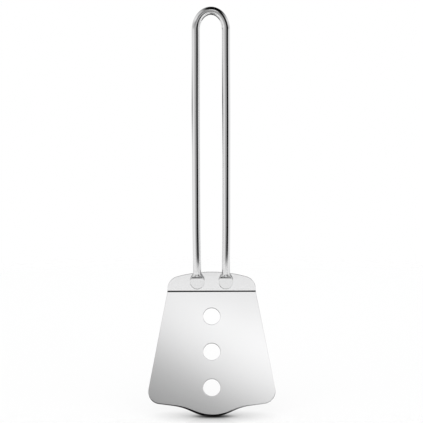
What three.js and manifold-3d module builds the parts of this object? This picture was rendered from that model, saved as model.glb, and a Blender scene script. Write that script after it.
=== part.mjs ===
// Kitchen turner: a hairpin rod handle, spot-welded to a stamped and bent steel blade.
// Millimetres, +Z up. The origin is the top of the gap inside the hanging loop, where a hook bears.
// The handle hangs straight down, and the lifting face of the blade looks towards -Y.
import * as THREE from "three";
import { mergeVertices } from "three/addons/utils/BufferGeometryUtils.js";
import Module from "manifold-3d";

const wasm = await Module();
wasm.setup();
const degrees = Math.PI / 180;

// Driving dimensions of the handle
const rodDiameter = 6;
const loopHalfWidth = 10.8; // to the centre line of the rod
const loopRise = 13.5; // of the half oval over the legs, on the centre line of the rod
const footSpacing = 21; // between the centre lines of the two rod ends
const creaseDrop = 201.5; // from the hook's seat in the loop down to the crease of the blade
const paddleWidth = 10.6;
const paddleThickness = 2.4;
const paddleEdgeRadius = 0.4;
const paddleLength = 11.5; // from the start of the flare to the rounded end
const paddleAboveCrease = 2;
const flareLength = 4.6; // over which the round rod widens to the paddle
const stepStart = 1.5; // below the start of the flare
const stepLength = 1.9; // over which the front of the rod drops to the paddle

// Driving dimensions of the blade
const sheetThickness = 1.2;
const bendAngle = 24 * degrees;
const bendRadius = 3.8; // on the inside, which is the front
const creaseWidth = 64.8;
const flangeHeight = 14.5;
const domeRadius = 95;
const domeCornerRadius = 9.5;
const bladeLength = 92.2; // from the crease to the tip
const sideTaper = 10.5 * degrees;
const cornerRadius = 9;
const shoulderAngle = 7.4 * degrees; // of the leading edge beside the tip
const flankAngle = 23.5 * degrees; // of the leading edge where it runs down to the tip
const flankReach = 22.2; // from the centre line to where shoulder and flank meet
const flankRadius = 40;
const tipRadius = 30;
const holeDiameter = 12.5;
const holeCount = 3;
const holePitch = 26.3;
const firstHoleDrop = 18.7; // from the crease to the upper hole

// Driving dimensions of the welds, and the clearance between pieces
const weldDiameter = 5;
const weldDepth = 0.4; // into the paddle, and into the sheet
const fitGap = 0.3;

// Facets
const rodSides = 24;
const loopSteps = 16; // over a quarter turn
const flareSteps = 12;
const paddleEndSteps = 7;
const bendSteps = 3;
const outlineSteps = 8;
const weldSides = 24;
const weldRings = 8;

// Places that follow from the driving dimensions
const rodRadius = rodDiameter / 2;
const loopCentreZ = rodRadius - loopRise;
const paddleEndZ = paddleAboveCrease - creaseDrop;
const flareZ = paddleEndZ + paddleLength;
const paddleBackY = rodRadius;
const flangeFrontY = paddleBackY + fitGap;
const weldY = (paddleBackY + flangeFrontY) / 2;
const paddleEndRadius = paddleWidth / 2;
const weldZ = paddleEndZ + paddleEndRadius;
const bendReach = (bendRadius + sheetThickness) * Math.tan(bendAngle / 2);

// A closed mesh as a solid that can be joined and cut.
function solidOf(geometry) {
  const bare = geometry.clone();
  bare.deleteAttribute("normal");
  bare.deleteAttribute("uv");
  const merged = mergeVertices(bare);
  const vertProperties = Float32Array.from(merged.attributes.position.array);
  const triVerts = Uint32Array.from(merged.index.array);
  return new wasm.Manifold(new wasm.Mesh({ numProp: 3, vertProperties, triVerts }));
}

// The mesh of a solid.
function geometryOf(solid) {
  const { vertProperties, triVerts } = solid.getMesh();
  const geometry = new THREE.BufferGeometry();
  geometry.setAttribute("position", new THREE.BufferAttribute(vertProperties, 3));
  geometry.setIndex(new THREE.BufferAttribute(triVerts, 1));
  geometry.computeVertexNormals();
  return geometry;
}

// A skin over rings of equal point counts, closed by a fan over each end.
function loft(rings) {
  const sides = rings[0].length;
  const index = [];
  for (let ring = 0; ring + 1 < rings.length; ring += 1) {
    for (let side = 0; side < sides; side += 1) {
      const here = ring * sides + side;
      const beside = ring * sides + (side + 1) % sides;
      index.push(here, beside + sides, beside, here, here + sides, beside + sides);
    }
  }
  const last = (rings.length - 1) * sides;
  for (let side = 1; side + 1 < sides; side += 1) {
    index.push(0, side, side + 1);
    index.push(last, last + side + 1, last + side);
  }
  const geometry = new THREE.BufferGeometry();
  geometry.setFromPoints(rings.flat());
  geometry.setIndex(index);
  return geometry;
}

// The section of the rod at one place: a rectangle with round corners, flush with the back of the rod.
// The first coordinate runs outwards from the loop, the second one towards the back.
function rodSection(halfWidth, thickness, edgeRadius) {
  const radius = Math.min(edgeRadius, thickness / 2, halfWidth);
  const cornerSides = rodSides / 4;
  const points = [];
  for (let side = 0; side < rodSides; side += 1) {
    const angle = (side + 0.5) * 2 * Math.PI / rodSides;
    const quarter = Math.floor(side / cornerSides);
    const across = quarter === 0 || quarter === 3 ? 1 : -1;
    const deep = quarter < 2 ? 1 : -1;
    points.push(new THREE.Vector2(
      across * (halfWidth - radius) + radius * Math.cos(angle),
      paddleBackY - thickness / 2 + deep * (thickness / 2 - radius) + radius * Math.sin(angle),
    ));
  }
  return points;
}

// The places along the right half of the rod, from the crown of the loop to the end of the paddle.
// Each has a point, the direction outwards from the loop, and the section there.
// The loop is half an oval. The leg touches it where it touches a circle once the oval is squashed to one.
function rightStations() {
  const squash = loopHalfWidth / loopRise;
  const drop = (loopCentreZ - flareZ) * squash;
  const foot = footSpacing / 2;
  const turn = Math.asin(loopHalfWidth / Math.hypot(drop, foot)) - Math.atan2(foot, drop);
  const lean = Math.atan(Math.tan(turn) * squash);
  const stations = [];
  const round = rodSection(rodRadius, rodDiameter, rodRadius);
  for (let step = 0; step <= loopSteps; step += 1) {
    const angle = Math.PI / 2 - (Math.PI / 2 + turn) * step / loopSteps;
    const outwards = new THREE.Vector2(Math.cos(angle), squash * Math.sin(angle)).normalize();
    const point = new THREE.Vector2(loopHalfWidth * Math.cos(angle), loopCentreZ + loopRise * Math.sin(angle));
    stations.push({ point, outwards, section: round });
  }
  const outwards = new THREE.Vector2(Math.cos(lean), -Math.sin(lean));
  const along = new THREE.Vector2(-Math.sin(lean), -Math.cos(lean));
  const flare = new THREE.Vector2(foot, flareZ);
  for (const { distance, section } of paddleSections()) {
    stations.push({ point: flare.clone().addScaledVector(along, distance), outwards, section });
  }
  return stations;
}

// The sections of one rod end: the round rod widens and thins to a paddle, which ends in a half round.
function paddleSections() {
  const roundStart = paddleLength - paddleEndRadius;
  const places = [];
  for (let step = 0; step <= flareSteps; step += 1) {
    places.push(Math.min(flareLength, roundStart) * step / flareSteps);
  }
  for (let step = 0; step < paddleEndSteps; step += 1) {
    places.push(roundStart + paddleEndRadius * Math.sin(Math.PI / 2 * (step + 0.5) / paddleEndSteps));
  }
  return places.map((distance) => {
    const widening = THREE.MathUtils.smoothstep(distance, 0, flareLength);
    const thinning = THREE.MathUtils.smoothstep(distance, stepStart, stepStart + stepLength);
    const pastRound = Math.max(0, distance - roundStart);
    const endShare = Math.sqrt(1 - (pastRound / paddleEndRadius) ** 2);
    const halfWidth = THREE.MathUtils.lerp(rodRadius, paddleWidth / 2, widening) * endShare;
    const thickness = THREE.MathUtils.lerp(rodDiameter, paddleThickness, thinning);
    const edgeRadius = THREE.MathUtils.lerp(rodRadius, paddleEdgeRadius, widening);
    return { distance, section: rodSection(halfWidth, thickness, edgeRadius) };
  });
}

// One ring of the rod in space, on the right side or mirrored on the left.
function rodRing({ point, outwards, section }, sign) {
  return section.map((at) => new THREE.Vector3(
    sign * (point.x + outwards.x * at.x),
    at.y,
    point.y + outwards.y * at.x,
  ));
}

// The spot weld between paddle and flange: a flat lens of fused metal, grown by a clearance to cut its seat.
function weldLens(sign, clearance) {
  const radius = weldDiameter / 2 + clearance;
  const rise = fitGap / 2 + weldDepth + clearance;
  const lens = new THREE.SphereGeometry(1, weldSides, weldRings);
  lens.scale(radius, rise, radius);
  lens.translate(sign * footSpacing / 2, weldY, weldZ);
  return lens;
}

// Both welds' seats are cut from a piece that they join.
function withWeldSeats(solid) {
  return solid.subtract(solidOf(weldLens(-1, fitGap))).subtract(solidOf(weldLens(1, fitGap)));
}

// The handle: one rod over the loop, from the left paddle to the right one.
function handleGeometry() {
  const stations = rightStations();
  const leftRings = stations.slice(1).reverse().map((station) => rodRing(station, -1));
  const rightRings = stations.map((station) => rodRing(station, 1));
  return geometryOf(withWeldSeats(solidOf(loft([...leftRings, ...rightRings]))));
}

// The bent sheet before it is stamped out: its side profile, drawn in Y and Z, carried across the blade.
// It is wider than the blade, and runs past its dome and its tip.
function bentSheet() {
  const topZ = flangeHeight + sheetThickness - creaseDrop;
  const arcY = flangeFrontY - bendRadius;
  const arcZ = bendRadius * Math.tan(bendAngle / 2) - creaseDrop;
  const outerRadius = bendRadius + sheetThickness;
  const run = bladeLength + sheetThickness;
  const along = new THREE.Vector2(-Math.sin(bendAngle), -Math.cos(bendAngle));
  const front = new THREE.Vector2(flangeFrontY, -creaseDrop).addScaledVector(along, run);
  const back = new THREE.Vector2(-along.y, along.x).multiplyScalar(sheetThickness).add(front);
  const profile = new THREE.Shape();
  profile.moveTo(flangeFrontY, topZ);
  profile.absarc(arcY, arcZ, bendRadius, 0, -bendAngle, true);
  profile.lineTo(front.x, front.y);
  profile.lineTo(back.x, back.y);
  profile.absarc(arcY, arcZ, outerRadius, -bendAngle, 0, false);
  profile.lineTo(flangeFrontY + sheetThickness, topZ);
  profile.closePath();
  const depth = creaseWidth + 2 * bladeLength;
  const sheet = new THREE.ExtrudeGeometry(profile, { depth, bevelEnabled: false, curveSegments: bendSteps });
  sheet.translate(0, 0, -depth / 2);
  const across = new THREE.Vector3(1, 0, 0);
  const backwards = new THREE.Vector3(0, 1, 0);
  const up = new THREE.Vector3(0, 0, 1);
  return sheet.applyMatrix4(new THREE.Matrix4().makeBasis(backwards, up, across));
}

// Rounds one corner of an outline by an arc that is tangent to both of its sides.
function addRoundCorner(shape, from, { at, radius }, to) {
  const before = from.at.clone().sub(at).normalize();
  const after = to.at.clone().sub(at).normalize();
  const halfAngle = before.angleTo(after) / 2;
  const toCentre = before.clone().add(after).normalize();
  const centre = at.clone().addScaledVector(toCentre, radius / Math.sin(halfAngle));
  const reach = radius / Math.tan(halfAngle);
  const startAngle = at.clone().addScaledVector(before, reach).sub(centre).angle();
  const endAngle = at.clone().addScaledVector(after, reach).sub(centre).angle();
  const clockwise = before.cross(after) > 0;
  shape.absarc(centre.x, centre.y, radius, startAngle, endAngle, clockwise);
}

// A closed outline through corner points. The first and the last are sharp, as are those without a radius.
function roundedOutline(corners) {
  const shape = new THREE.Shape();
  shape.moveTo(corners[0].at.x, corners[0].at.y);
  for (let i = 1; i < corners.length; i += 1) {
    if (corners[i].radius > 0) {
      addRoundCorner(shape, corners[i - 1], corners[i], corners[i + 1]);
    } else {
      shape.lineTo(corners[i].at.x, corners[i].at.y);
    }
  }
  shape.closePath();
  return shape;
}

// The outline of the flange, above the crease: a shallow dome that runs into round corners.
function flangeOutline() {
  const half = creaseWidth / 2;
  const cornerX = half - domeCornerRadius;
  const domeZ = flangeHeight - domeRadius;
  const reach = domeRadius - domeCornerRadius;
  const tangentAngle = Math.acos(cornerX / reach);
  const cornerZ = domeZ + reach * Math.sin(tangentAngle);
  const shape = new THREE.Shape();
  shape.moveTo(-half, -bendReach);
  shape.lineTo(half, -bendReach);
  shape.absarc(cornerX, cornerZ, domeCornerRadius, 0, tangentAngle, false);
  shape.absarc(0, domeZ, domeRadius, tangentAngle, Math.PI - tangentAngle, false);
  shape.absarc(-cornerX, cornerZ, domeCornerRadius, Math.PI - tangentAngle, Math.PI, false);
  shape.closePath();
  return shape;
}

// The outline of the blade, below the crease, with its row of holes. The height is measured along the sheet.
function bladeOutline() {
  const half = creaseWidth / 2;
  const sharpTip = -bladeLength - tipRadius * (1 / Math.cos(flankAngle) - 1);
  const flankZ = sharpTip + flankReach * Math.tan(flankAngle);
  const shoulderSlope = Math.tan(shoulderAngle);
  const sideSlope = Math.tan(sideTaper);
  const cornerX = (half - sideSlope * (flankZ - shoulderSlope * flankReach)) / (1 + sideSlope * shoulderSlope);
  const cornerZ = flankZ + shoulderSlope * (cornerX - flankReach);
  const rightSide = [
    { at: new THREE.Vector2(flankReach, flankZ), radius: flankRadius },
    { at: new THREE.Vector2(cornerX, cornerZ), radius: cornerRadius },
    { at: new THREE.Vector2(half, 0), radius: 0 },
    { at: new THREE.Vector2(half, bendReach), radius: 0 },
  ];
  const mirrored = ({ at, radius }) => ({ at: new THREE.Vector2(-at.x, at.y), radius });
  const leftSide = rightSide.map(mirrored).reverse();
  const tip = { at: new THREE.Vector2(0, sharpTip), radius: tipRadius };
  const shape = roundedOutline([...leftSide, tip, ...rightSide]);
  for (let hole = 0; hole < holeCount; hole += 1) {
    const path = new THREE.Path();
    path.absarc(0, -firstHoleDrop - hole * holePitch, holeDiameter / 2, 0, 2 * Math.PI, true);
    shape.holes.push(path);
  }
  return shape;
}

// A cutter with the given outline, standing on the crease and leaning forwards by the given angle.
function outlineCutter(shape, lean) {
  const depth = 4 * sheetThickness;
  const cutter = new THREE.ExtrudeGeometry(shape, { depth, bevelEnabled: false, curveSegments: outlineSteps });
  cutter.translate(0, 0, -depth / 2 - sheetThickness / 2);
  const across = new THREE.Vector3(1, 0, 0);
  const up = new THREE.Vector3(0, Math.sin(lean), Math.cos(lean));
  const forwards = new THREE.Vector3(0, -Math.cos(lean), Math.sin(lean));
  const place = new THREE.Matrix4().makeBasis(across, up, forwards);
  place.setPosition(0, flangeFrontY, -creaseDrop);
  return solidOf(cutter.applyMatrix4(place));
}

// The blade: the bent sheet, stamped out along the outlines of its flange and its lifting face.
function bladeGeometry() {
  const stamp = outlineCutter(flangeOutline(), 0).add(outlineCutter(bladeOutline(), bendAngle));
  return geometryOf(withWeldSeats(solidOf(bentSheet()).intersect(stamp)));
}

const polishedSteel = new THREE.MeshStandardMaterial({ color: 0xd2d4d6, roughness: 0.12, metalness: 1 });
const satinSteel = new THREE.MeshStandardMaterial({ color: 0xd8dadb, roughness: 0.28, metalness: 1 });
const weldSteel = new THREE.MeshStandardMaterial({ color: 0x9a9a98, roughness: 0.55, metalness: 1 });

function namedMesh(name, geometry, material) {
  const mesh = new THREE.Mesh(geometry, material);
  mesh.name = name;
  return mesh;
}

const turner = new THREE.Group();
turner.name = "kitchen_turner";
turner.add(namedMesh("handle", handleGeometry(), polishedSteel));
turner.add(namedMesh("blade", bladeGeometry(), satinSteel));
turner.add(namedMesh("weld_left", weldLens(-1, 0), weldSteel));
turner.add(namedMesh("weld_right", weldLens(1, 0), weldSteel));

export default turner;
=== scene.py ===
# %% [markdown]
# A steel kitchen turner.
#
# The real one is made of two pieces of stainless steel. A round rod is bent into a long hairpin, its two
# ends are hammered flat, and the flat ends are spot-welded to a stamped and bent sheet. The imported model
# gives both pieces at their real size. Here each one is made again as a smooth surface, because polished
# steel shows every facet in its reflections. Then come the finishes, the studio and the camera.

# %% Load the frame
import math

import bmesh
import bpy
import numpy as np
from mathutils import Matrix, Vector


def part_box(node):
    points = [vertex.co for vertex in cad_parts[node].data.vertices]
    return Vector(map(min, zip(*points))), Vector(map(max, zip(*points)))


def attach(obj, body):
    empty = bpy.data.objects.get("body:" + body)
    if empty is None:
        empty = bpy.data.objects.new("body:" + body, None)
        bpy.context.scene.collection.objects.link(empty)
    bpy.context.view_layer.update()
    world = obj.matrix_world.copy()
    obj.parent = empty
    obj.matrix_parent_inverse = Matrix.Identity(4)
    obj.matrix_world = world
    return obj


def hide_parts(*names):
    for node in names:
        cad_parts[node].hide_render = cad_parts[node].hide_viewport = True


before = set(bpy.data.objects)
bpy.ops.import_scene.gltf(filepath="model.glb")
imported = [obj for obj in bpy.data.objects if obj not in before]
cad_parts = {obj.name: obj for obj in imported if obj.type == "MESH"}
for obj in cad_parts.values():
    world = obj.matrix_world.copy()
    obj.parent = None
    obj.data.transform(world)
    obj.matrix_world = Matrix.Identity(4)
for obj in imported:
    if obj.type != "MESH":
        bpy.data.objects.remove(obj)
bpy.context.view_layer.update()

# %% [markdown]
# Everything is measured in metres, so sizes that a maker would give in millimetres carry a factor. They are
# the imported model's own sizes, written out again because a mesh doesn't tell its bend radius or its taper.
# Those that both pieces need come first. The boxes of handle and blade are read from the frame now, while
# its own meshes still stand for the pieces.

# %% Shared sizes
MM = 0.001
ROD_RADIUS = 3 * MM
FIT_GAP = 0.3 * MM
CREASE_DROP = 201.5 * MM
SHEET_THICKNESS = 1.2 * MM
SHEET_FRONT_Y = ROD_RADIUS + FIT_GAP

handle_low, handle_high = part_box("handle")
blade_low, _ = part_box("blade")
print("rod", 2 * ROD_RADIUS, "frame says", round(handle_high[1] - handle_low[1], 5))

# %% [markdown]
# Both pieces are grids of points, so a few small helpers serve them all. One gives the quads between
# neighbouring rows and columns of a grid. One puts several grids into one mesh, joins them where their
# edges meet, and turns every face outwards. The last one puts a mesh in the place of its node of the frame.

# %% Helpers for grids
WELD_DISTANCE = 0.002 * MM


def grid_quads(rows, columns, closed=False):
    """Quads of a grid: each joins a point, the next in its row, and the two below them."""
    row = np.arange(rows - 1)[:, None]
    column = np.arange(columns if closed else columns - 1)[None, :]
    here = row * columns + column
    beside = row * columns + (column + 1) % columns
    return np.stack([here, beside, beside + columns, here + columns], axis=-1).reshape(-1, 4)


def mesh_of(name, patches):
    """A mesh from patches, each an array of points, of quads and of the quads' UV corners."""
    starts = np.cumsum([0] + [len(points) for points, _, _ in patches])
    points = np.concatenate([points for points, _, _ in patches])
    quads = np.concatenate([quads + start for (_, quads, _), start in zip(patches, starts)])
    corners = np.concatenate([corners for _, _, corners in patches])
    mesh = bpy.data.meshes.new(name)
    mesh.vertices.add(len(points))
    mesh.vertices.foreach_set("co", points.astype(np.float32).ravel())
    mesh.loops.add(quads.size)
    mesh.loops.foreach_set("vertex_index", quads.astype(np.int32).ravel())
    mesh.polygons.add(len(quads))
    mesh.polygons.foreach_set("loop_start", np.arange(len(quads), dtype=np.int32) * 4)
    mesh.uv_layers.new(name="along").data.foreach_set("uv", corners.astype(np.float32).ravel())
    mesh.update(calc_edges=True)
    joined = bmesh.new()
    joined.from_mesh(mesh)
    bmesh.ops.remove_doubles(joined, verts=joined.verts, dist=WELD_DISTANCE)
    bmesh.ops.dissolve_degenerate(joined, edges=joined.edges, dist=WELD_DISTANCE / 4)
    bmesh.ops.recalc_face_normals(joined, faces=joined.faces)
    joined.to_mesh(mesh)
    joined.free()
    mesh.shade_smooth()
    edge_of_loop = np.zeros(len(mesh.loops), dtype=np.int32)
    mesh.loops.foreach_get("edge_index", edge_of_loop)
    open_edges = int((np.bincount(edge_of_loop) != 2).sum())
    print(name, len(mesh.vertices), "points,", len(mesh.polygons), "faces,", open_edges, "open edges")
    return mesh


def add_piece(name, mesh, material, node):
    """Puts a finished mesh in the scene, where it replaces its node of the frame."""
    piece = bpy.data.objects.new(name, mesh)
    bpy.context.scene.collection.objects.link(piece)
    mesh.materials.append(material)
    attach(piece, "root")
    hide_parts(node)


# %% [markdown]
# The finishes come first, so that each piece can take its own. Steel has no colour of its own to speak of:
# what shows is the room. What makes it real are small things, such as the fine lines that drawing and
# brushing leave, a little haze where hands have been, and a roughness that is never quite even.

# %% Helpers for finishes
STEEL_BLUE = 1.004


def new_material(name):
    """A node material, its node tree and its shader, which starts out as bare metal."""
    material = bpy.data.materials.new(name)
    material.use_nodes = True
    tree = material.node_tree
    shader = tree.nodes["Principled BSDF"]
    shader.inputs["Metallic"].default_value = 1.0
    return material, tree, shader


def add_node(tree, kind, **settings):
    """A node with its properties set by name, and its inputs set by their names in a dict."""
    node = tree.nodes.new(kind)
    for socket, value in settings.pop("inputs", {}).items():
        node.inputs[socket].default_value = value
    for key, value in settings.items():
        setattr(node, key, value)
    return node


def stretched_noise(tree, vector, scale, detail=3.0, roughness=0.6):
    """Noise whose grain is longer along some axes: the coordinates are scaled before the noise."""
    mapping = add_node(tree, "ShaderNodeMapping", inputs={"Scale": scale})
    settings = {"Scale": 1.0, "Detail": detail, "Roughness": roughness}
    noise = add_node(tree, "ShaderNodeTexNoise", inputs=settings)
    tree.links.new(vector, mapping.inputs["Vector"])
    tree.links.new(mapping.outputs["Vector"], noise.inputs["Vector"])
    return noise.outputs["Fac"]


def remap(tree, value, low, high, from_low=0.3, from_high=0.7, **settings):
    """A value moved from one span, by default the usual one of a noise, to another."""
    spans = {"From Min": from_low, "From Max": from_high, "To Min": low, "To Max": high}
    node = add_node(tree, "ShaderNodeMapRange", inputs=spans, **settings)
    tree.links.new(value, node.inputs["Value"])
    return node.outputs["Result"]


def combined(tree, first, second, operation="ADD"):
    """One value from two, by default their sum."""
    node = add_node(tree, "ShaderNodeMath", operation=operation)
    tree.links.new(first, node.inputs[0])
    tree.links.new(second, node.inputs[1])
    return node.outputs["Value"]


def grey_between(tree, value, dark, pale):
    """A steel colour between two greys, with a trace of blue."""
    ramp = add_node(tree, "ShaderNodeValToRGB")
    for element, grey in zip(ramp.color_ramp.elements, (dark, pale)):
        element.color = (grey, grey, grey * STEEL_BLUE, 1)
    tree.links.new(value, ramp.inputs["Fac"])
    return ramp.outputs["Color"]


def fill_ramp(ramp, stops, low, high):
    """Grey stops of a colour ramp, from places between low and high."""
    elements = ramp.color_ramp.elements
    while len(elements) < len(stops):
        elements.new(0.5)
    for element, (place, grey) in zip(elements, stops):
        element.position = (place - low) / (high - low)
        element.color = (grey, grey, grey, 1)


def fade_along(tree, place, axis, stops):
    """A ramp along one axis of a place."""
    ramp = add_node(tree, "ShaderNodeValToRGB")
    low, high = stops[0][0], stops[-1][0]
    fill_ramp(ramp, stops, low, high)
    axes = add_node(tree, "ShaderNodeSeparateXYZ")
    tree.links.new(place, axes.inputs["Vector"])
    tree.links.new(remap(tree, axes.outputs[axis], 0.0, 1.0, low, high), ramp.inputs["Fac"])
    return ramp.outputs["Color"]


def fine_bump(tree, height, strength, distance):
    """A bump normal from a height."""
    bump = add_node(tree, "ShaderNodeBump", inputs={"Strength": strength, "Distance": distance})
    tree.links.new(height, bump.inputs["Height"])
    return bump.outputs["Normal"]


# %% [markdown]
# The rod is drawn through a die and then polished. Its UV map runs round the rod and along it, so the faint
# drawing lines follow the bend of the loop. A broad, soft haze stands for handling.

# %% Polished rod
DRAWN_LINES = (9000, 25, 1)
HAND_HAZE = (90, 90, 40)
ROD_GREYS = (0.80, 0.85)
LINE_ROUGHNESS = (0.0, 0.02)
HAZE_ROUGHNESS = (0.03, 0.07)


def polished_rod_finish():
    """Bright steel: fine lines along the rod, and haze in soft patches."""
    material, tree, shader = new_material("polished_rod_steel")
    along = add_node(tree, "ShaderNodeUVMap", uv_map="along").outputs["UV"]
    place = add_node(tree, "ShaderNodeTexCoord").outputs["Object"]
    drawn = stretched_noise(tree, along, DRAWN_LINES)
    haze = stretched_noise(tree, place, HAND_HAZE, detail=4.0)
    roughness = combined(tree, remap(tree, drawn, *LINE_ROUGHNESS), remap(tree, haze, *HAZE_ROUGHNESS))
    tree.links.new(roughness, shader.inputs["Roughness"])
    tree.links.new(grey_between(tree, haze, *ROD_GREYS), shader.inputs["Base Color"])
    tree.links.new(fine_bump(tree, drawn, strength=0.05, distance=0.01 * MM), shader.inputs["Normal"])
    return material


polished_rod = polished_rod_finish()
print("finish", polished_rod.name)

# %% [markdown]
# The sheet has a satin face. Its grain runs down the blade, so the noise is fine across and long down. A
# belt leaves that grain on the flat sheet. The inside of the bend gets a painted shade, a dull dark line in
# the colour. The UV map already holds each point's place on the flat sheet, so a ramp along it puts the
# line exactly into the bend.

# %% Satin sheet
SATIN_GRAIN = (5200, 160, 70)
SATIN_CLOUDS = (28, 28, 22)
SATIN_GREYS = (0.87, 0.91)
GRAIN_ROUGHNESS = (0.0, 0.025)
CLOUD_ROUGHNESS = (0.075, 0.09)
# Painted shade: a dark line in the colour along the inside of the bend, on the front face.
PAINTED_CREASE_SHADE = [(-0.52 * MM, 1.0), (-0.34 * MM, 0.03), (0.42 * MM, 0.03), (0.56 * MM, 1.0)]


def painted_crease_shade(tree, place):
    """Painted shade on the inside of the bend, and white elsewhere: the paler of two ramps, one along the
    flat sheet and one from its front face to its back face."""
    flat_place = add_node(tree, "ShaderNodeUVMap", uv_map="along").outputs["UV"]
    depth_stops = [(SHEET_FRONT_Y, 0.0), (SHEET_FRONT_Y + SHEET_THICKNESS, 1.0)]
    along_sheet = fade_along(tree, flat_place, "Y", PAINTED_CREASE_SHADE)
    through_sheet = fade_along(tree, place, "Y", depth_stops)
    return combined(tree, along_sheet, through_sheet, "MAXIMUM")


def satin_sheet_finish():
    """Satin steel: grain down the blade, soft clouds in the sheen, and a painted shade line in the bend."""
    material, tree, shader = new_material("satin_sheet_steel")
    place = add_node(tree, "ShaderNodeTexCoord").outputs["Object"]
    grain = stretched_noise(tree, place, SATIN_GRAIN, detail=4.0)
    clouds = stretched_noise(tree, place, SATIN_CLOUDS, detail=4.0)
    roughness = combined(tree, remap(tree, grain, *GRAIN_ROUGHNESS), remap(tree, clouds, *CLOUD_ROUGHNESS))
    tree.links.new(roughness, shader.inputs["Roughness"])
    colour = add_node(tree, "ShaderNodeMix", data_type="RGBA", blend_type="MULTIPLY", inputs={0: 1.0})
    tree.links.new(grey_between(tree, grain, *SATIN_GREYS), colour.inputs[6])
    # The painted shade of the bend darkens the grain's grey.
    tree.links.new(painted_crease_shade(tree, place), colour.inputs[7])
    tree.links.new(colour.outputs[2], shader.inputs["Base Color"])
    tree.links.new(fine_bump(tree, grain, strength=0.015, distance=0.01 * MM), shader.inputs["Normal"])
    return material


satin_sheet = satin_sheet_finish()
print("finish", satin_sheet.name)

# %% [markdown]
# The welds sit hidden between the rod ends and the sheet. They are the frame's own nodes and keep their
# shape. Fused steel is dull and slightly mottled.

# %% Weld metal
WELD_MOTTLE = (900, 900, 900)
WELD_GREYS = (0.42, 0.6)
WELD_ROUGHNESS = (0.45, 0.65)


def weld_metal_finish():
    """Dull fused steel with a mottled grey."""
    material, tree, shader = new_material("fused_weld_steel")
    place = add_node(tree, "ShaderNodeTexCoord").outputs["Object"]
    mottle = stretched_noise(tree, place, WELD_MOTTLE, detail=5.0)
    tree.links.new(grey_between(tree, mottle, *WELD_GREYS), shader.inputs["Base Color"])
    tree.links.new(remap(tree, mottle, *WELD_ROUGHNESS), shader.inputs["Roughness"])
    return material


weld_metal = weld_metal_finish()
for weld in ("weld_left", "weld_right"):
    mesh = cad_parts[weld].data
    mesh.materials.clear()
    mesh.materials.append(weld_metal)
print("finish", weld_metal.name)

# %% [markdown]
# The handle could be a curve with a bevel, but its ends change from round to flat, and a bevel can't do
# that. So it is a section carried along a path. The section is always a rectangle with round corners: where
# the corners are as large as the rectangle, that is a circle, and towards the end it becomes wide and flat.
# The back of the section stays on the rod's back line, so that it lies on the flange. The legs bow outwards
# by a hair between loop and rod end, as bent rod does when it springs back.

# %% The path of the rod
LOOP_HALF_WIDTH = 10.8 * MM
LOOP_RISE = 13.5 * MM
FOOT_SPACING = 21 * MM
PADDLE_WIDTH = 10.6 * MM
PADDLE_LENGTH = 11.5 * MM
PADDLE_ABOVE_CREASE = 2 * MM
FLARE_LENGTH = 4.6 * MM
LEG_BOW = 0.28 * MM
LEG_BOW_RISE = (0, 0.4)
LEG_BOW_FALL = (0.78, 1)
LOOP_RINGS = 96
LEG_RINGS = 40
FLARE_RINGS = 90
PADDLE_RINGS = 12
END_RINGS = 40

loop_centre_z = ROD_RADIUS - LOOP_RISE
paddle_end_z = PADDLE_ABOVE_CREASE - CREASE_DROP
flare_z = paddle_end_z + PADDLE_LENGTH
foot_x = FOOT_SPACING / 2
leg_drop = loop_centre_z - flare_z
squash = LOOP_HALF_WIDTH / LOOP_RISE
oval_drop = leg_drop * squash
loop_turn = math.asin(LOOP_HALF_WIDTH / math.hypot(oval_drop, foot_x)) - math.atan2(foot_x, oval_drop)
leg_lean = math.atan(math.tan(loop_turn) * squash)
leg_length = (leg_drop - LOOP_RISE * math.sin(loop_turn)) / math.cos(leg_lean)
leg_down = np.array([-math.sin(leg_lean), -math.cos(leg_lean)])


def smoothstep(value, low, high):
    """0 below low, 1 above high, and 3t^2 - 2t^3 between them."""
    t = np.clip((value - low) / (high - low), 0, 1)
    return t * t * (3 - 2 * t)


def right_half_of_path():
    """Centre points, outward directions, distances past the flare and fold angles, from the crown to the
    right end. The loop is half an oval, and leg and paddle go straight on from it, with the bow added to the
    leg. At the half-round end the section stays where it is and its two halves fold together, by a quarter
    turn each."""
    turn = np.linspace(math.pi / 2, -loop_turn, LOOP_RINGS)
    loop_out = np.stack([np.cos(turn), squash * np.sin(turn)], axis=1)
    loop_out /= np.linalg.norm(loop_out, axis=1, keepdims=True)
    loop = np.stack([LOOP_HALF_WIDTH * np.cos(turn), loop_centre_z + LOOP_RISE * np.sin(turn)], axis=1)
    round_start = PADDLE_LENGTH - PADDLE_WIDTH / 2
    straight = np.concatenate([
        np.linspace(-leg_length, 0, LEG_RINGS)[1:-1],
        np.linspace(0, FLARE_LENGTH, FLARE_RINGS),
        np.linspace(FLARE_LENGTH, round_start, PADDLE_RINGS)[1:],
    ])
    past_flare = np.concatenate([straight, np.full(END_RINGS, round_start)])
    leg = np.array([foot_x, flare_z]) + past_flare[:, None] * leg_down
    leg_share = 1 + past_flare / leg_length
    bow = smoothstep(leg_share, *LEG_BOW_RISE) * (1 - smoothstep(leg_share, *LEG_BOW_FALL))
    leg[:, 0] += LEG_BOW * bow
    leg_out = np.tile([math.cos(leg_lean), -math.sin(leg_lean)], (len(leg), 1))
    centres = np.concatenate([loop, leg])
    outwards = np.concatenate([loop_out, leg_out])
    past_flare = np.concatenate([np.full(LOOP_RINGS, -leg_length), past_flare])
    end_fold = np.linspace(0, math.pi / 2, END_RINGS + 1)[1:]
    fold = np.concatenate([np.zeros(LOOP_RINGS + len(straight)), end_fold])
    return centres, outwards, past_flare, fold


centres, outwards, past_flare, fold = right_half_of_path()
print("half path", len(centres), "places, leg", round(leg_length, 4))

# %% [markdown]
# Now the section. Its half width, its thickness and its corner radius are arrays along the path. The width
# grows over the whole flare, while the front drops to the paddle in a short, steep step, as a forging die
# leaves it.

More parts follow.
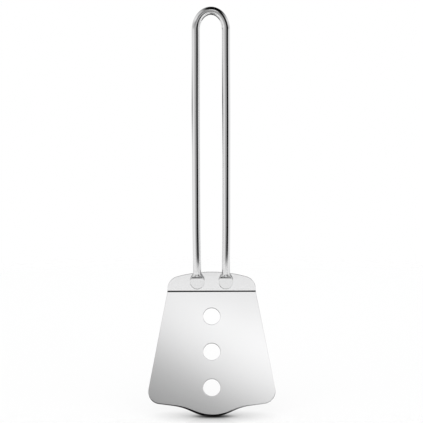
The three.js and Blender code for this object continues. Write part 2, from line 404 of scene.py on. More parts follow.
# %% The section of the rod
PADDLE_THICKNESS = 2.4 * MM
PADDLE_EDGE_RADIUS = 0.4 * MM
STEP_START = 1.5 * MM
STEP_LENGTH = 1.9 * MM
RING_POINTS = 128
FLAT_PLACES = np.array([-0.96, -0.5, 0.5, 0.96])
FLAT_SPREAD = 0.4


def rod_sections(past_flare):
    """Half width, thickness and corner radius along the rod, each a smoothstep from rod to paddle. The
    corner radius is at most half the thickness."""
    widening = smoothstep(past_flare, 0, FLARE_LENGTH)
    thinning = smoothstep(past_flare, STEP_START, STEP_START + STEP_LENGTH)
    half_width = ROD_RADIUS + (PADDLE_WIDTH / 2 - ROD_RADIUS) * widening
    thickness = 2 * ROD_RADIUS + (PADDLE_THICKNESS - 2 * ROD_RADIUS) * thinning
    corner = np.minimum(ROD_RADIUS + (PADDLE_EDGE_RADIUS - ROD_RADIUS) * widening, thickness / 2)
    return half_width, thickness, corner


def ring_columns():
    """Angles round the section, and the shares of its flat width and depth there. The round corners have even
    angles. Each flat has four points of its own, close together in angle, so that it is shaded flat."""
    step = 2 * math.pi / RING_POINTS
    corners = (np.arange(RING_POINTS) + 0.5) * step
    flat = FLAT_PLACES
    flats = np.concatenate([quarter * math.pi / 2 + FLAT_SPREAD * step * flat for quarter in range(4)])
    full = np.ones(len(flat))
    width_share = np.concatenate([np.sign(np.cos(corners)), full, -flat, -full, flat])
    depth_share = np.concatenate([np.sign(np.sin(corners)), flat, full, -flat, -full])
    angle = np.concatenate([corners, flats])
    order = np.argsort(angle)
    return angle[order], width_share[order], depth_share[order]


ring_angle, width_share, depth_share = ring_columns()
print("section", len(ring_angle), "points round")

# %% [markdown]
# The rings are set on the path and joined by quads. Both legs are alike, so the right half is made once and
# mirrored. The end of each paddle could be cut to a half round, but then its rim would be sharp. So the
# last ring folds together like a book, and its two halves sweep over the half round.

# %% The rod with its flattened ends
def rod_grid(centres, outwards, past_flare, fold):
    """Points of the rod: each ring is a rectangle with round corners, set on the path's outward direction
    and on Y. A point is a corner's centre plus the corner radius times (cosine, sine) of its angle. Where
    the ring folds, its place across turns into cosine of the fold across and sine of the fold downwards."""
    half_width, thickness, corner = (part[:, None] for part in rod_sections(past_flare))
    across = width_share * (half_width - corner) + corner * np.cos(ring_angle)
    depth = depth_share * (thickness / 2 - corner) + corner * np.sin(ring_angle)
    down = np.abs(across) * np.sin(fold)[:, None]
    across = across * np.cos(fold)[:, None]
    x = centres[:, :1] + outwards[:, :1] * across + leg_down[0] * down
    y = ROD_RADIUS - thickness / 2 + depth
    z = centres[:, 1:] + outwards[:, 1:] * across + leg_down[1] * down
    return np.stack([x, y, z], axis=-1)


def grid_uv(rows_at, columns_at):
    """UV corners of a closed grid's quads: the first coordinate goes round, the second along."""
    u0, v0 = np.meshgrid(columns_at[:-1], rows_at[:-1])
    u1, v1 = np.meshgrid(columns_at[1:], rows_at[1:])
    return np.stack([u0, v0, u1, v0, u1, v1, u0, v1], axis=-1).reshape(-1, 4, 2)


right = rod_grid(centres, outwards, past_flare, fold)
left = right[:0:-1] * np.array([-1, 1, 1])
rings = np.concatenate([left, right])
steps = np.linalg.norm(np.diff(rings.mean(axis=1), axis=0), axis=1)
along_rod = np.concatenate([[0], np.cumsum(steps)])
round_rod = ROD_RADIUS * np.append(ring_angle, ring_angle[0] + 2 * math.pi)
handle_patch = (
    rings.reshape(-1, 3),
    grid_quads(len(rings), len(ring_angle), closed=True),
    grid_uv(along_rod, round_rod),
)
handle_mesh = mesh_of("handle_rod", [handle_patch])
add_piece("handle_rod", handle_mesh, polished_rod, "handle")

# %% [markdown]
# The blade is one sheet. It is drawn flat first, with x across and w down from the crease, and bent at the
# end, as the real one is. The outline is a chain of lines and arcs that run into each other. A corner that
# is rounded by an arc takes the tangent points on both of its sides. A traced curve would do as well, but
# these are the sizes that a toolmaker would set. The lower outline comes first.

# %% The leading edge
CREASE_WIDTH = 64.8 * MM
BLADE_LENGTH = 92.2 * MM
SIDE_TAPER = math.radians(10.5)
CORNER_RADIUS = 9 * MM
SHOULDER_ANGLE = math.radians(7.4)
FLANK_ANGLE = math.radians(23.5)
FLANK_REACH = 22.2 * MM
FLANK_RADIUS = 40 * MM
TIP_RADIUS = 30 * MM
ARC_STEP = 0.35 * MM


def line(start, end):
    """Points on a straight line, without its end."""
    start, end = np.array(start), np.array(end)
    count = max(1, int(np.linalg.norm(end - start) / ARC_STEP))
    return start + (end - start) * np.linspace(0, 1, count, endpoint=False)[:, None]


def arc(centre, radius, start, end):
    """Points on an arc, without its end: the centre plus the radius times (cosine, sine)."""
    count = max(2, int(abs(end - start) * radius / ARC_STEP))
    angle = np.linspace(start, end, count, endpoint=False)
    return np.array(centre) + radius * np.stack([np.cos(angle), np.sin(angle)], axis=1)


def leading_edge(top):
    """The right half of the lower outline, from the height top on the side to the tip.
    Side, shoulder and flank are straight, and three arcs round the corner, the hollow and the tip."""
    side_slope = math.tan(SIDE_TAPER)
    shoulder_slope = math.tan(SHOULDER_ANGLE)
    sharp_tip = BLADE_LENGTH + TIP_RADIUS * (1 / math.cos(FLANK_ANGLE) - 1)
    hollow = np.array([FLANK_REACH, sharp_tip - FLANK_REACH * math.tan(FLANK_ANGLE)])
    corner_x = CREASE_WIDTH / 2 + side_slope * (hollow[1] + shoulder_slope * FLANK_REACH)
    corner_x /= 1 + side_slope * shoulder_slope
    corner = np.array([corner_x, hollow[1] - shoulder_slope * (corner_x - FLANK_REACH)])
    side = np.array([math.sin(SIDE_TAPER), math.cos(SIDE_TAPER)])
    shoulder = np.array([-math.cos(SHOULDER_ANGLE), math.sin(SHOULDER_ANGLE)])
    flank = np.array([-math.cos(FLANK_ANGLE), math.sin(FLANK_ANGLE)])
    corner_reach = CORNER_RADIUS * math.tan((math.pi / 2 + SIDE_TAPER - SHOULDER_ANGLE) / 2)
    hollow_reach = FLANK_RADIUS * math.tan((FLANK_ANGLE - SHOULDER_ANGLE) / 2)
    corner_from = corner - corner_reach * side
    corner_centre = corner_from + CORNER_RADIUS * np.array([-side[1], side[0]])
    hollow_from = hollow - hollow_reach * shoulder
    hollow_centre = hollow_from + FLANK_RADIUS * np.array([shoulder[1], -shoulder[0]])
    tip_centre = np.array([0, BLADE_LENGTH - TIP_RADIUS])
    tip_from = tip_centre + TIP_RADIUS * np.array([flank[1], -flank[0]])
    return np.concatenate([
        line((CREASE_WIDTH / 2 + side_slope * top, top), corner_from),
        arc(corner_centre, CORNER_RADIUS, -SIDE_TAPER, math.pi / 2 - SHOULDER_ANGLE),
        line(corner + corner_reach * shoulder, hollow_from),
        arc(hollow_centre, FLANK_RADIUS, -math.pi / 2 - SHOULDER_ANGLE, -math.pi / 2 - FLANK_ANGLE),
        line(hollow + hollow_reach * flank, tip_from),
        arc(tip_centre, TIP_RADIUS, math.pi / 2 - FLANK_ANGLE, math.pi / 2),
    ])


print("leading edge", round(BLADE_LENGTH / MM, 1), "mm below the crease at the tip")

# %% [markdown]
# The upper end is one wide arc, the dome, with a small arc at each side. Then the chain goes once round the
# sheet. Its points are placed where the faces need rows later: at both ends of the bend, and half way
# between the holes.

# %% The flat outline of the sheet
FLANGE_HEIGHT = 14.5 * MM
DOME_RADIUS = 95 * MM
DOME_CORNER_RADIUS = 9.5 * MM
BEND_ANGLE = math.radians(24)
BEND_RADIUS = 3.8 * MM
BEND_ROWS = 20
HOLE_COUNT = 3
HOLE_PITCH = 26.3 * MM
FIRST_HOLE_DROP = 18.7 * MM
MIRROR = np.array([-1, 1])


def dome():
    """The right half of the upper outline, from the top of the straight side to the crown of the dome.
    The corner's arc touches the dome's arc from inside, so their centres and their meeting are in line."""
    corner_x = CREASE_WIDTH / 2 - DOME_CORNER_RADIUS
    reach = DOME_RADIUS - DOME_CORNER_RADIUS
    meeting = math.acos(corner_x / reach)
    dome_w = DOME_RADIUS - FLANGE_HEIGHT
    corner_w = dome_w - reach * math.sin(meeting)
    return np.concatenate([
        arc((corner_x, corner_w), DOME_CORNER_RADIUS, 0, -meeting),
        arc((0, dome_w), DOME_RADIUS, -meeting, -math.pi / 2),
    ])


def side_point(w):
    """The right side of the sheet at w: upright on the flange, and leaning out by the taper below it."""
    w = np.asarray(w, dtype=float)
    return np.stack([CREASE_WIDTH / 2 + math.tan(SIDE_TAPER) * np.maximum(w, 0), w], axis=-1)


bend_reach = BEND_RADIUS * math.tan(BEND_ANGLE / 2)
hole_drops = FIRST_HOLE_DROP + HOLE_PITCH * np.arange(HOLE_COUNT)
cell_tops = np.concatenate([[bend_reach], (hole_drops[:-1] + hole_drops[1:]) / 2])
bend_side = side_point(np.linspace(-bend_reach, bend_reach, BEND_ROWS, endpoint=False))
cell_sides = [line(side_point(top), side_point(end)) for top, end in zip(cell_tops, cell_tops[1:])]
right_side = np.concatenate([bend_side, *cell_sides, leading_edge(cell_tops[-1])])
dome_half = dome()
flange_side = np.concatenate([line(side_point(-bend_reach), dome_half[0]), dome_half])
outline = np.concatenate([
    right_side, [[0, BLADE_LENGTH]], right_side[::-1] * MIRROR,
    flange_side[1:] * MIRROR, [[0, -FLANGE_HEIGHT]], flange_side[:0:-1],
])
print("outline", len(outline), "points")

# %% [markdown]
# A stamped edge is never sharp, and on steel the small round of an edge is what catches the light. So the
# two faces stop a little short of the outline, and a rim goes round it: a quarter round, a short straight
# wall and another quarter round. The front of the leading edge is ground, most at the tip, so that it
# slides under food. There the rim is flatter than a quarter round, and a little wider on the left, as hand
# grinding leaves it.

# %% The edges of the faces
EDGE_ROUND = 0.2 * MM
BEVEL_WIDTH = 1.15 * MM
BEVEL_DEPTH = 0.8 * MM
BEVEL_FLATNESS = 0.6
BEVEL_START = (66 * MM, 80 * MM)
BEVEL_FADE = (4 * MM, 34 * MM)
BEVEL_LOSS = 0.65
BEVEL_SKEW = 0.2
BEVEL_SKEW_REACH = 10 * MM
RIM_STEPS = 10
opposite = 2 * len(right_side)
cell_starts = np.cumsum([len(bend_side)] + [len(side) for side in cell_sides])


def outward_normals(loop):
    """The direction out of a closed chain at each point, square to the mean of its two sides there."""
    after = np.roll(loop, -1, axis=0) - loop
    after /= np.linalg.norm(after, axis=1, keepdims=True)
    tangent = after + np.roll(after, 1, axis=0)
    tangent /= np.linalg.norm(tangent, axis=1, keepdims=True)
    return np.stack([tangent[:, 1], -tangent[:, 0]], axis=1)


rim_normals = outward_normals(outline)
ground = smoothstep(outline[:, 1], *BEVEL_START)
bevel = ground * (1 - BEVEL_LOSS * smoothstep(np.abs(outline[:, 0]), *BEVEL_FADE))
skew = 1 - BEVEL_SKEW * np.clip(outline[:, 0] / BEVEL_SKEW_REACH, -1, 1)
rim_width = EDGE_ROUND + BEVEL_WIDTH * bevel * skew
rim_depth = EDGE_ROUND + BEVEL_DEPTH * bevel
rim_power = 1 + BEVEL_FLATNESS * bevel
face_edge = outline - rim_width[:, None] * rim_normals
rim_turn = np.linspace(0, math.pi / 2, RIM_STEPS)[:, None]
print("rim rounded by", EDGE_ROUND, "and ground", BEVEL_WIDTH, "wide at the tip")

# %% [markdown]
# Each face is covered by a few grids that share their border points. Round each hole the grid is polar: its
# rays run from the hole to the border of its share of the blade. The bend and the flange are rows across
# the sheet. All are drawn flat, and one function bends them, so front, back and rim can't drift apart.

# %% The grids of the sheet
SUPPORT_WIDTH = 0.15 * MM
SUPPORT_SHARE = 0.25
row_share = np.linspace(0, 1, 2 * len(flange_side) + 1)[:, None]


def sheet_points(flat, depth):
    """Points of the bent sheet from x, from w down the front face, and from the depth behind that face.
    Above the bend a point goes up the flange. In the bend it is on an arc about the bend's centre, turned
    by its share of the bend angle. Below, it goes on straight along the tilted blade."""
    x, w = flat[..., 0], flat[..., 1]
    turned = np.clip((w + bend_reach) / (2 * bend_reach), 0, 1) * BEND_ANGLE
    radius = BEND_RADIUS + depth
    above = np.maximum(-bend_reach - w, 0)
    past = np.maximum(w - bend_reach, 0)
    y = SHEET_FRONT_Y - BEND_RADIUS + radius * np.cos(turned) - past * math.sin(BEND_ANGLE)
    z = bend_reach - CREASE_DROP - radius * np.sin(turned) + above - past * math.cos(BEND_ANGLE)
    return np.stack([x, y, z], axis=-1)


def sheet_patch(flat, depth, closed=False):
    """One grid of the sheet's skin at a depth, with its flat place as its UV map."""
    rows, columns = flat.shape[:2]
    quads = grid_quads(rows, columns, closed)
    points = sheet_points(flat, np.broadcast_to(depth, (rows, columns)))
    return points.reshape(-1, 3), quads, flat.reshape(-1, 2)[quads]


def rim_patch(edge, direction, width, depth, power):
    """The cut edge along a closed chain. From the front face it goes outwards by a power of the sine times
    the width, and back by one minus that power of the cosine times the depth. From the wall to the back face
    it is a quarter of an ellipse. The power 1 makes it round, and more makes it flat, as if ground."""
    out = width * np.sin(rim_turn) ** power
    front = depth * (1 - np.clip(np.cos(rim_turn), 0, 1) ** power)
    back = SHEET_THICKNESS - EDGE_ROUND * (1 - np.cos(rim_turn[::-1])) + 0 * depth
    out = np.concatenate([out, width * np.sin(rim_turn[::-1])])
    deep = np.concatenate([front, back])
    return sheet_patch(edge + direction * out[:, :, None], deep, closed=True)


def across(index):
    """Rows from points of the right edge straight to their mirror images, in equal shares."""
    start, end = face_edge[index][..., None, :], face_edge[opposite - index][..., None, :]
    return start + (end - start) * row_share


def between(start, end):
    """Rows from one chain to another, close at both ends and wide between, so the shading stays flat."""
    length = np.linalg.norm(end - start, axis=1, keepdims=True)
    near = np.minimum(SUPPORT_WIDTH / np.maximum(length, WELD_DISTANCE), SUPPORT_SHARE)
    share = np.stack([0 * near, near, 0.5 + 0 * near, 1 - near, 1 + 0 * near])
    return start + (end - start) * share


def cell_border(number):
    """The closed chain round one hole's share of the blade: right edge, lower row, left edge, upper row."""
    top = cell_starts[number]
    upper_row = across(top)[:0:-1]
    if number == HOLE_COUNT - 1:
        return np.concatenate([face_edge[top:opposite - top], upper_row])
    end = cell_starts[number + 1]
    right_edge, left_edge = face_edge[top:end], face_edge[opposite - end:opposite - top]
    return np.concatenate([right_edge, across(end)[:-1], left_edge, upper_row])


print("bend reaches", round(bend_reach / MM, 3), "mm to each side of the crease")

# %% [markdown]
# Now the sheet is put together: front and back of every grid, the rim of the outline and the rim of each
# hole. The back is the same grid, moved back by the sheet's thickness before it is bent.

# %% The blade
HOLE_RADIUS = 6.25 * MM
BOTH_FACES = (0, SHEET_THICKNESS)


def hole_patches(number):
    """Both faces round one hole and the hole's rim: rays from the hole's circle to the border round it."""
    centre = np.array([0, hole_drops[number]])
    border = cell_border(number)
    ray = (border - centre) / np.linalg.norm(border - centre, axis=1, keepdims=True)
    circle = centre + ray * (HOLE_RADIUS + EDGE_ROUND)
    faces = [sheet_patch(between(circle, border), depth, closed=True) for depth in BOTH_FACES]
    round_edge = np.full(len(ray), EDGE_ROUND)
    return faces + [rim_patch(circle, -ray, round_edge, round_edge, 1)]


bend_rows = across(np.arange(len(bend_side) + 1))
dome_row = np.concatenate([face_edge[:1], face_edge[:opposite - 1:-1]])
flange_rows = between(across(0), dome_row)
sheet_patches = [sheet_patch(rows, depth) for rows in (bend_rows, flange_rows) for depth in BOTH_FACES]
sheet_patches += [patch for number in range(HOLE_COUNT) for patch in hole_patches(number)]
sheet_patches += [rim_patch(face_edge, rim_normals, rim_width, rim_depth, rim_power)]
blade_mesh = mesh_of("blade_sheet", sheet_patches)
add_piece("blade_sheet", blade_mesh, satin_sheet, "blade")

# %% [markdown]
# The studio. The turner stands on its tip on a white table that fades out into a white room, so there is no
# horizon. A lamp over the blade would give it a shadow, but also a bright spot. So the table itself darkens
# round the tip, along an oval, which is where the blade keeps the light of the room away.

# %% The shade round the tip
FLOOR_Z = blade_low[2]
TIP_Y = blade_low[1]
SHADE_X = 0.8 * MM
SHADE_Y = TIP_Y + 1.9 * MM
SHADE_RATIO = 2.5
SHADE_SPAN = 0.06
SHADE_STOPS = [
    (0.0, 0.0), (0.0045, 0.01), (0.0065, 0.06), (0.0085, 0.125), (0.0105, 0.21), (0.0133, 0.37),
    (0.0161, 0.54), (0.0188, 0.645), (0.0233, 0.74), (0.0293, 0.82), (0.0353, 0.89), (0.0428, 0.96),
    (0.05, 1.0),
]


def tip_shade(tree, place):
    """The table's grey round the tip: a ramp over the distance from it, in a space that is stretched along Y,
    so that equal greys are ovals."""
    stretch = {"Location": (-SHADE_X, -SHADE_Y * SHADE_RATIO, 0), "Scale": (1, SHADE_RATIO, 1)}
    oval = add_node(tree, "ShaderNodeMapping", inputs=stretch)
    distance = add_node(tree, "ShaderNodeVectorMath", operation="LENGTH")
    shade = add_node(tree, "ShaderNodeValToRGB")
    fill_ramp(shade, SHADE_STOPS, 0, SHADE_SPAN)
    tree.links.new(place, oval.inputs["Vector"])
    tree.links.new(oval.outputs["Vector"], distance.inputs[0])
    tree.links.new(remap(tree, distance.outputs["Value"], 0.0, 1.0, 0.0, SHADE_SPAN), shade.inputs["Fac"])
    return shade.outputs["Color"]


print("tip at", round(TIP_Y, 5), "on a table at", round(FLOOR_Z, 5))

# %% [markdown]
# The table takes the soft shadow of the blade and has a faint shine. A large white plane would do, but it
# would end in a line somewhere, and it would grey towards the back. So most of what the camera sees of it
# is plain white, and away from the object it becomes clear and lets the white room through. In the steel it
# is a shade darker than the room.

# %% The table
FLOOR_SIZE = 4.0
TABLE_FADE = (0.57, 0.67)
TABLE_ROUGHNESS = 0.1
TABLE_SHINE = (0.0, 0.5)
TABLE_GLOW = (0.92, 1.0)
TABLE_GLOW_SHARE = (0.0, 0.65)


def mixed(tree, share, first, second):
    """A shader between two: the first where the share is 0, and the second where it is 1."""
    mix = add_node(tree, "ShaderNodeMixShader")
    tree.links.new(share, mix.inputs["Fac"])
    tree.links.new(first, mix.inputs[1])
    tree.links.new(second, mix.inputs[2])
    return mix.outputs["Shader"]


def table_finish():
    """A white table with a faint shine. To the camera it is partly, and to reflections wholly, an even white
    times the shade round the tip. It fades to nothing away from the object."""
    material, tree, shader = new_material("white_table")
    shader.inputs["Metallic"].default_value = 0.0
    shader.inputs["Roughness"].default_value = TABLE_ROUGHNESS
    place = add_node(tree, "ShaderNodeTexCoord").outputs["Object"]
    shade = tip_shade(tree, place)
    tree.links.new(shade, shader.inputs["Base Color"])
    tree.links.new(remap(tree, shade, *TABLE_SHINE), shader.inputs["Specular IOR Level"])
    path = add_node(tree, "ShaderNodeLightPath")
    plain = add_node(tree, "ShaderNodeEmission")
    tree.links.new(shade, plain.inputs["Color"])
    tree.links.new(remap(tree, path.outputs["Is Camera Ray"], *TABLE_GLOW), plain.inputs["Strength"])
    share = remap(tree, path.outputs["Is Camera Ray"], *TABLE_GLOW_SHARE)
    share = combined(tree, path.outputs["Is Glossy Ray"], share)
    seen = mixed(tree, share, shader.outputs["BSDF"], plain.outputs["Emission"])
    distance = add_node(tree, "ShaderNodeVectorMath", operation="LENGTH")
    tree.links.new(place, distance.inputs[0])
    fade = remap(tree, distance.outputs["Value"], 0.0, 1.0, *TABLE_FADE, interpolation_type="SMOOTHSTEP")
    clear = add_node(tree, "ShaderNodeBsdfTransparent").outputs["BSDF"]
    tree.links.new(mixed(tree, fade, seen, clear), tree.nodes["Material Output"].inputs["Surface"])
    return material


def add_plane(name, width, height, material):
    """A flat rectangle about the origin, facing up."""
    mesh = bpy.data.meshes.new(name)
    w, h = width / 2, height / 2
    mesh.from_pydata([(-w, -h, 0), (w, -h, 0), (w, h, 0), (-w, h, 0)], [], [(0, 1, 2, 3)])
    mesh.materials.append(material)
    plane = bpy.data.objects.new(name, mesh)
    bpy.context.scene.collection.objects.link(plane)
    return plane


table = add_plane("white_table", FLOOR_SIZE, FLOOR_SIZE, table_finish())
table.location = (0, 0, FLOOR_Z)
print("table fades out between", TABLE_FADE)

# %% [markdown]
# Steel looks like the room around it, so the room counts as much as the finish. A panorama of a studio
# could be loaded, but drawn greys are easier to change. Each row is a height over the horizon in degrees,
# and its stops are compass directions with their greys: 0 is towards the camera and 90 is to the right. The
# room is white, with a dark side to the right of the camera and a dark ceiling. Those give the rods their
# dark line and the soft grey beside it. The pale strip just under the camera lights the middle of the rods.

# %% The room
ROOM_ROWS = [
    (-18, [
        (-180, 1.0), (-70, 0.9), (-45, 0.85), (-25, 0.7), (-12, 0.3), (-4, 0.06), (0, 0.02), (8, 0.0),
        (20, 0.0), (34, 0.3), (58, 0.65), (75, 0.7), (180, 1.0),
    ]),
    (-10, [
        (-180, 1.0), (-130, 0.8), (-100, 0.92), (-70, 0.95), (-45, 0.9), (-22, 0.5), (-8, 0.35), (0, 0.07),
        (10, 0.04), (20, 0.02), (25, 0.0), (50, 0.0), (56, 0.25), (62, 0.75), (75, 0.8), (114, 0.95),
        (180, 1.0),
    ]),
    (-6, [
        (-180, 1.0), (-130, 0.75), (-100, 0.88), (-70, 0.93), (-45, 0.8), (-22, 0.46), (-6, 0.3), (-4, 0.6),
        (4, 0.6), (6, 0.2), (10, 0.15), (19, 0.02), (24, 0.0), (51, 0.0), (57, 0.25), (63, 0.75), (75, 0.8),
        (114, 0.95), (180, 1.0),
    ]),
    (-4.3, [
        (-180, 0.8), (-168, 0.4), (-156, 0.0), (-119, 0.0), (-106, 0.6), (-96, 0.86), (-70, 0.93),
        (-45, 0.74), (-22, 0.46), (-6, 0.3), (-4, 0.6), (4, 0.6), (6, 0.2), (10, 0.14), (18, 0.02),
        (23, 0.0), (52, 0.0), (58, 0.25), (64, 0.75), (75, 0.8), (114, 0.95), (180, 0.9),
    ]),
    (-2.4, [
        (-180, 1.0), (-130, 0.7), (-100, 0.85), (-70, 0.92), (-45, 0.7), (-22, 0.46), (-6, 0.3), (-4, 0.6),
        (4, 0.6), (6, 0.2), (10, 0.14), (18, 0.02), (22, 0.0), (54, 0.0), (60, 0.25), (66, 0.75), (75, 0.8),
        (114, 0.95), (180, 1.0),
    ]),
    (2, [
        (-180, 1.0), (-120, 0.8), (-60, 0.6), (-30, 0.45), (0, 0.5), (12, 0.2), (28, 0.0), (58, 0.0),
        (75, 0.6), (180, 1.0),
    ]),
    (5, [
        (-180, 1.0), (-120, 0.7), (-60, 0.5), (-30, 0.3), (0, 0.3), (10, 0.25), (20, 0.06), (26, 0.02),
        (56, 0.0), (66, 0.4), (75, 0.6), (120, 0.8), (180, 1.0),
    ]),
    (12, [
        (-180, 1.0), (-120, 0.75), (-60, 0.5), (-45, 0.35), (-28, 0.35), (0, 0.35), (28, 0.3), (45, 0.3),
        (60, 0.4), (67, 0.6), (75, 0.8), (120, 0.85), (180, 1.0),
    ]),
    (21, [
        (-180, 1.0), (-120, 0.8), (-60, 0.95), (-45, 0.9), (-28, 0.5), (0, 0.45), (28, 0.5), (45, 0.5),
        (60, 0.6), (74, 0.85), (100, 0.9), (130, 0.75), (180, 1.0),
    ]),
    (30, [
        (-180, 0.03), (-140, 0.4), (-110, 0.75), (-75, 0.9), (-45, 0.6), (-28, 0.5), (0, 0.45), (28, 0.45),
        (60, 0.4), (76, 0.5), (92, 0.6), (110, 0.4), (140, 0.15), (180, 0.03),
    ]),
    (48, [(-180, 0.0), (-130, 0.5), (-75, 0.7), (-45, 0.4), (-20, 0.0), (120, 0.0), (180, 0.0)]),
    (70, [(-180, 0.0), (180, 0.0)]),
]


def room_grey(tree, turn, rise):
    """The grey in a direction: a ramp over the compass for each row, blended between neighbouring rows."""
    grey = None
    for (height, stops), below in zip(ROOM_ROWS, [None] + ROOM_ROWS):
        row = add_node(tree, "ShaderNodeValToRGB")
        fill_ramp(row, stops, -180, 180)
        tree.links.new(turn, row.inputs["Fac"])
        if grey is None:
            grey = row.outputs["Color"]
            continue
        share = remap(tree, rise, 0.0, 1.0, math.radians(below[0]), math.radians(height))
        blend = add_node(tree, "ShaderNodeMix", data_type="RGBA")
        tree.links.new(share, blend.inputs[0])
        tree.links.new(grey, blend.inputs[6])
        tree.links.new(row.outputs["Color"], blend.inputs[7])
        grey = blend.outputs[2]
    return grey


def light_room():
    """A world that is white to the camera and to the table, and the drawn room to reflections. The compass
    direction is the arctangent of X over -Y, and the height is the arcsine of Z."""
    world = bpy.data.worlds.new("white_room")
    bpy.context.scene.world = world
    world.use_nodes = True
    tree = world.node_tree
    axes = add_node(tree, "ShaderNodeSeparateXYZ")
    tree.links.new(add_node(tree, "ShaderNodeTexCoord").outputs["Generated"], axes.inputs["Vector"])
    forwards = add_node(tree, "ShaderNodeMath", operation="MULTIPLY", inputs={1: -1.0})
    tree.links.new(axes.outputs["Y"], forwards.inputs[0])
    compass = combined(tree, axes.outputs["X"], forwards.outputs["Value"], "ARCTAN2")
    rise = add_node(tree, "ShaderNodeMath", operation="ARCSINE")
    tree.links.new(axes.outputs["Z"], rise.inputs[0])
    turn = remap(tree, compass, 0.0, 1.0, -math.pi, math.pi)
    grey = room_grey(tree, turn, rise.outputs["Value"])
    path = add_node(tree, "ShaderNodeLightPath")
    seen = add_node(tree, "ShaderNodeMix", data_type="RGBA", inputs={6: (1, 1, 1, 1)})
    tree.links.new(path.outputs["Is Glossy Ray"], seen.inputs[0])
    tree.links.new(grey, seen.inputs[7])
    tree.links.new(seen.outputs[2], tree.nodes["Background"].inputs["Color"])


light_room()
print("room with", len(ROOM_ROWS), "rows of greys")

# %% [markdown]
# The blade looks up and forwards, so what it shows is a soft light above the camera. An area lamp is even,
# but a real softbox isn't, and a satin sheet shows that. So the light is a card that glows by two ramps:
# one rises from the lower left to the upper right, and one falls off towards the card's upper and lower
# edge.

# %% The soft light over the camera
CARD_DISTANCE = 1.4
CARD_RISE = math.radians(35)
CARD_CENTRE = Vector((0.0, -0.017, -0.245))
CARD_SIZE = (2.0, 0.4)
SLOPE_LEAN = 0.62
SLOPE_REACH = 0.5
SOFT_LIGHT_SLOPE = [
    (-0.3, 0.3), (-0.13, 0.37), (-0.11, 0.44), (-0.09, 0.47), (-0.07, 0.53), (-0.05, 0.64), (-0.035, 0.74),
    (-0.017, 0.86), (0.0, 0.94), (0.03, 1.04), (0.06, 1.115), (0.08, 1.115), (0.1, 1.06), (0.13, 1.04),
    (0.3, 1.03),
]
SOFT_LIGHT_HEIGHT = [
    (-0.14, 0.0), (-0.12, 0.87), (-0.09, 0.9), (-0.05, 0.995), (0.0, 1.0), (0.04, 0.976), (0.065, 0.945),
    (0.08, 0.915), (0.095, 0.875), (0.13, 0.85),
]


def soft_light_finish():
    """A glowing card: its grey is a ramp along a leaning line, and its strength is a ramp up the card."""
    material = bpy.data.materials.new("soft_light")
    material.use_nodes = True
    tree = material.node_tree
    tree.nodes.remove(tree.nodes["Principled BSDF"])
    glow = add_node(tree, "ShaderNodeEmission")
    place = add_node(tree, "ShaderNodeTexCoord").outputs["Object"]
    axes = add_node(tree, "ShaderNodeSeparateXYZ")
    tree.links.new(place, axes.inputs["Vector"])
    lean = add_node(tree, "ShaderNodeMath", operation="MULTIPLY", inputs={1: SLOPE_LEAN})
    tree.links.new(axes.outputs["X"], lean.inputs[0])
    slope = combined(tree, axes.outputs["Y"], lean.outputs["Value"])
    ramp = add_node(tree, "ShaderNodeValToRGB")
    fill_ramp(ramp, SOFT_LIGHT_SLOPE, -SLOPE_REACH, SLOPE_REACH)
    tree.links.new(remap(tree, slope, 0.0, 1.0, -SLOPE_REACH, SLOPE_REACH), ramp.inputs["Fac"])
    tree.links.new(ramp.outputs["Color"], glow.inputs["Color"])
    tree.links.new(fade_along(tree, place, "Y", SOFT_LIGHT_HEIGHT), glow.inputs["Strength"])
    tree.links.new(glow.outputs["Emission"], tree.nodes["Material Output"].inputs["Surface"])
    return material


def only_in_reflections(plane):
    """Hides a plane from everything but reflections."""
    plane.visible_camera = False
    plane.visible_diffuse = False
    plane.visible_shadow = False


card = add_plane("soft_light", *CARD_SIZE, soft_light_finish())
only_in_reflections(card)
card_place = Vector((0, -math.cos(CARD_RISE), math.sin(CARD_RISE))) * CARD_DISTANCE
card.location = CARD_CENTRE + card_place
card.rotation_euler = (math.pi / 2 - CARD_RISE, 0, 0)
print("soft light at", [round(v, 3) for v in card.location])

# %% [markdown]
# Dark film is an old trick for bright metal: edges that look down, under the loop, at the rod ends and
# along the tip, get a dark line from it. A darker room would do that too, but it would darken the faces
# with them. Each film fades out towards its sides, so that its reflection has no hard edge, and only its
# upper side is dark, so that the table doesn't mirror it.

# %% Helpers for dark films
FILM_GREY = 0.005
FILM_SIZE = 1.0


def film_finish(name, across, along):
    """Black film: its density is a ramp across times a ramp along, and from below it is clear."""
    material, tree, shader = new_material(name)
    shader.inputs["Metallic"].default_value = 0.0
    shader.inputs["Specular IOR Level"].default_value = 0.0
    shader.inputs["Base Color"].default_value = (FILM_GREY, FILM_GREY, FILM_GREY, 1)
    place = add_node(tree, "ShaderNodeTexCoord").outputs["Object"]
    above = remap(tree, add_node(tree, "ShaderNodeNewGeometry").outputs["Backfacing"], 1.0, 0.0)
    fade_across = fade_along(tree, place, "X", across)
    both = combined(tree, fade_across, fade_along(tree, place, "Y", along), "MULTIPLY")
    density = combined(tree, both, above, "MULTIPLY")
    clear = add_node(tree, "ShaderNodeBsdfTransparent").outputs["BSDF"]
    film = mixed(tree, density, clear, shader.outputs["BSDF"])
    tree.links.new(film, tree.nodes["Material Output"].inputs["Surface"])
    return material


def add_film(name, start, turn, across, along):
    """A film at a place, turned by three angles in degrees. Its two ramps are in metres from that place."""
    film = add_plane(name, FILM_SIZE, FILM_SIZE, film_finish(name, across, along))
    film.location = start
    film.rotation_euler = [math.radians(angle) for angle in turn]
    only_in_reflections(film)
    print(name, "from", along[0][0], "to", along[-1][0])


# %% [markdown]
# Three films lie on the table. One rises from under the tip towards the camera, for the dark line along the
# leading edge. One lies further in front and one behind, for the inside of the loop and the undersides of
# the rod ends. Their heights differ a little, so that no two of them lie in one plane.

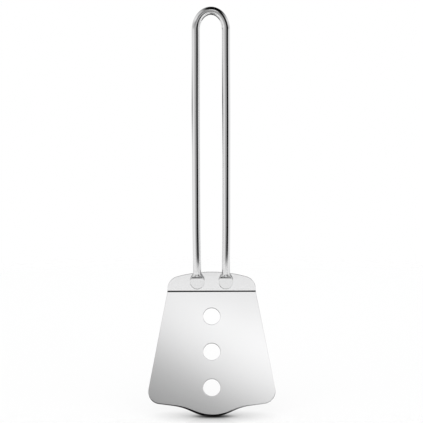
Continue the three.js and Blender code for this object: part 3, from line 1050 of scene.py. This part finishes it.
# %% The films on the table
FILM_LIFT = 0.3 * MM
FRONT_FILM_GAP = 4 * MM
FRONT_FILM_TILT = 8

add_film(
    "dark_film_front", (0, TIP_Y + FRONT_FILM_GAP, FLOOR_Z + FILM_LIFT), (-FRONT_FILM_TILT, 0, 0),
    across=[(-0.2, 0), (-0.1, 1), (0.01, 1), (0.06, 0)],
    along=[(-0.115, 0), (-0.075, 0.8), (-0.045, 1), (0.0, 1), (0.0005, 0)],
)
add_film(
    "dark_film_far", (0, TIP_Y, FLOOR_Z + 3 * FILM_LIFT), (0, 0, 0),
    across=[(-0.2, 0), (-0.1, 1), (0.1, 1), (0.2, 0)],
    along=[(-0.3, 0), (-0.25, 0.8), (-0.18, 0.8), (-0.14, 0)],
)
add_film(
    "dark_film_back", (0, 0, FLOOR_Z + 2 * FILM_LIFT), (0, 0, 0),
    across=[(-0.49, 0), (-0.42, 0.95), (-0.15, 1), (0.15, 1), (0.42, 0.95), (0.49, 0)],
    along=[
        (-0.02, 0), (0.01, 0.3), (0.03, 0.7), (0.06, 0.9), (0.1, 0.97), (0.3, 0.97), (0.4, 0.8), (0.46, 0),
    ],
)

# %% [markdown]
# The last film is a flag that stands beside the loop, in front and to the right, and faces it. The loop
# turns its right shoulder to it and gets a dark line there, where the soft light would shine in. The flag
# is small and near, so the blade doesn't see it.

# %% The flag beside the loop
FLAG_TURN = 41
FLAG_RISE = 25
FLAG_DISTANCE = 0.3

flag_turn, flag_rise = math.radians(FLAG_TURN), math.radians(FLAG_RISE)
flag_reach, flag_height = FLAG_DISTANCE * math.cos(flag_rise), FLAG_DISTANCE * math.sin(flag_rise)
add_film(
    "dark_flag",
    (flag_reach * math.sin(flag_turn), -flag_reach * math.cos(flag_turn), flag_height),
    (90 + FLAG_RISE, 0, 180 + FLAG_TURN),
    across=[(-0.12, 0), (-0.1, 1), (0.1, 1), (0.12, 0)],
    along=[(-0.13, 0), (-0.11, 1), (0.13, 1), (0.15, 0)],
)

# %% [markdown]
# The camera stands straight in front, a little above the handle's top, with a long lens, so that the two
# rods look nearly parallel. The length between loop and crease, and the ratio of the blade's length to it,
# tell the height from which it looks. A tiny roll stands for a turner that doesn't stand quite upright.

# %% The camera
CAMERA_DISTANCE = 1.2
CAMERA_RISE = math.radians(8)
CAMERA_ROLL = math.radians(-0.15)
CAMERA_TARGET = Vector((0.0001, 0, -0.14189))
IMAGE_SIZE = 423
FOCAL_PIXELS = 1650.6
SENSOR_WIDTH = 36

camera_data = bpy.data.cameras.new("camera")
camera_data.sensor_width = SENSOR_WIDTH
camera_data.lens = FOCAL_PIXELS / IMAGE_SIZE * SENSOR_WIDTH
camera = bpy.data.objects.new("camera", camera_data)
bpy.context.scene.collection.objects.link(camera)
camera_place = Vector((0, -math.cos(CAMERA_RISE), math.sin(CAMERA_RISE))) * CAMERA_DISTANCE
camera.location = CAMERA_TARGET + camera_place
camera.rotation_mode = "ZYX"
camera.rotation_euler = (math.pi / 2 - CAMERA_RISE, 0, CAMERA_ROLL)
bpy.context.scene.camera = camera
bpy.context.scene.view_settings.view_transform = "Standard"
print("camera at", [round(v, 4) for v in camera.location], "lens", round(camera_data.lens, 2))
